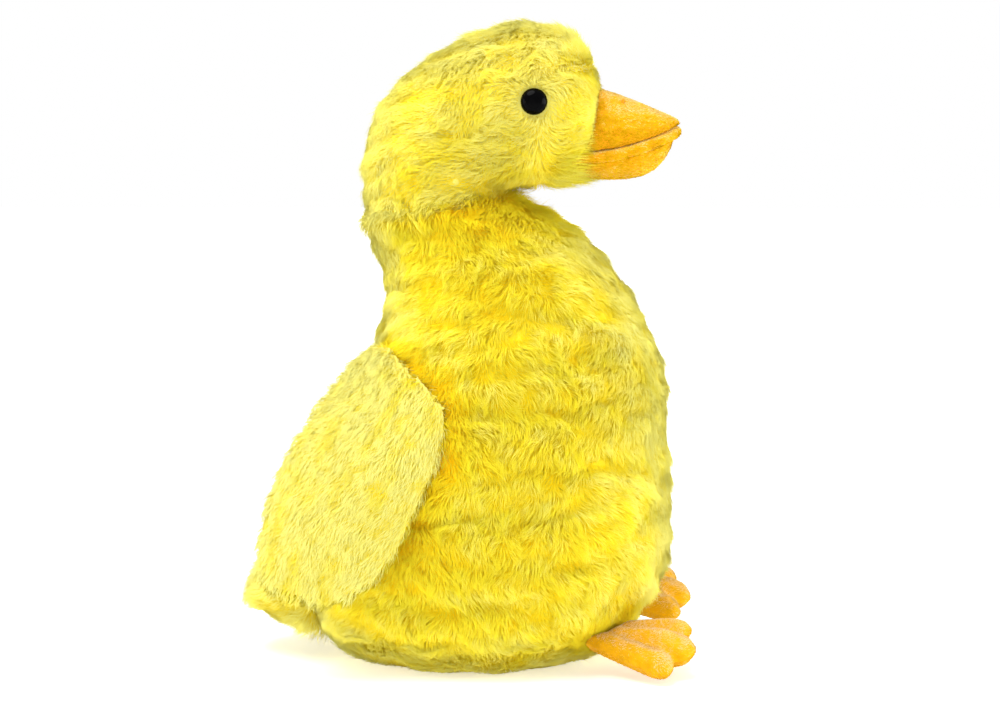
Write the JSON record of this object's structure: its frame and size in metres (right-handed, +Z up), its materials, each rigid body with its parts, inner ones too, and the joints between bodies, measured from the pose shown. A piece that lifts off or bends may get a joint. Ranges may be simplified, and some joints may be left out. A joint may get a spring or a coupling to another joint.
{
  "type": "plush duck",
  "caption": "Sitting stuffed duck of long pile with a short-pile beak and feet, hanging wings and a weighted flat seat.",
  "frame": {"origin": "middle of the flat seat, on the surface that the duck sits on", "axes": "+Z up, the duck faces -Y, its left side is +X and its right side is -X"},
  "size_m": [0.162, 0.2103, 0.2941],
  "materials": {
    "yellow_fur": "long soft lemon-yellow pile in clumps and swirls, golden in its depths",
    "orange_plush": "short velvety orange pile",
    "white_fill": "loose white fibre filling",
    "pouch_cloth": "plain unbleached cotton",
    "orange_thread": "dark orange sewing thread",
    "black_plastic": "polished black, domed",
    "milky_plastic": "milky, moulded"
  },
  "bodies": {
    "body": {"body_skin": "yellow_fur", "base_panel": "yellow_fur", "bean_pouch": "pouch_cloth", "body_stuffing": "white_fill", "head_skin": "yellow_fur", "head_stuffing": "white_fill", "eye_right": "black_plastic", "eye_left": "black_plastic", "eye_washer_right": "milky_plastic", "eye_washer_left": "milky_plastic", "beak_upper_skin": "orange_plush", "beak_upper_stuffing": "white_fill", "beak_lower_skin": "orange_plush", "beak_lower_stuffing": "white_fill", "beak_lip": "orange_plush", "nostril_stitch_right": "orange_thread", "nostril_stitch_left": "orange_thread", "tail_skin": "yellow_fur", "tail_stuffing": "white_fill"},
    "wing_right": {"wing_right_outer_panel": "yellow_fur", "wing_right_inner_panel": "yellow_fur", "wing_right_wadding": "white_fill"},
    "wing_left": {"wing_left_outer_panel": "yellow_fur", "wing_left_inner_panel": "yellow_fur", "wing_left_wadding": "white_fill"},
    "foot_right": {"foot_right_top_panel": "orange_plush", "foot_right_sole_panel": "orange_plush", "foot_right_stuffing": "white_fill"},
    "foot_left": {"foot_left_top_panel": "orange_plush", "foot_left_sole_panel": "orange_plush", "foot_left_stuffing": "white_fill"}
  },
  "joints": [
    {"name": "wing_right_lift", "type": "hinge", "parent": "body", "child": "wing_right", "pos_m": [-0.054, 0.017, 0.138], "axis": [0.6385, 0.6946, 0.3313], "range_deg": [0, 85]},
    {"name": "wing_left_lift", "type": "hinge", "parent": "body", "child": "wing_left", "pos_m": [0.054, 0.017, 0.138], "axis": [0.6385, -0.6946, -0.3313], "range_deg": [0, 85]},
    {"name": "foot_right_bend", "type": "hinge", "parent": "body", "child": "foot_right", "pos_m": [-0.037, -0.06294, 0.016], "axis": [-0.9, 0.272, -0.3407], "range_deg": [-25, 20], "stiffness_Nm_per_rad": 0.05},
    {"name": "foot_left_bend", "type": "hinge", "parent": "body", "child": "foot_left", "pos_m": [0.037, -0.06986, 0.023], "axis": [-0.9387, -0.0522, -0.3407], "range_deg": [-25, 20], "stiffness_Nm_per_rad": 0.05}
  ]
}
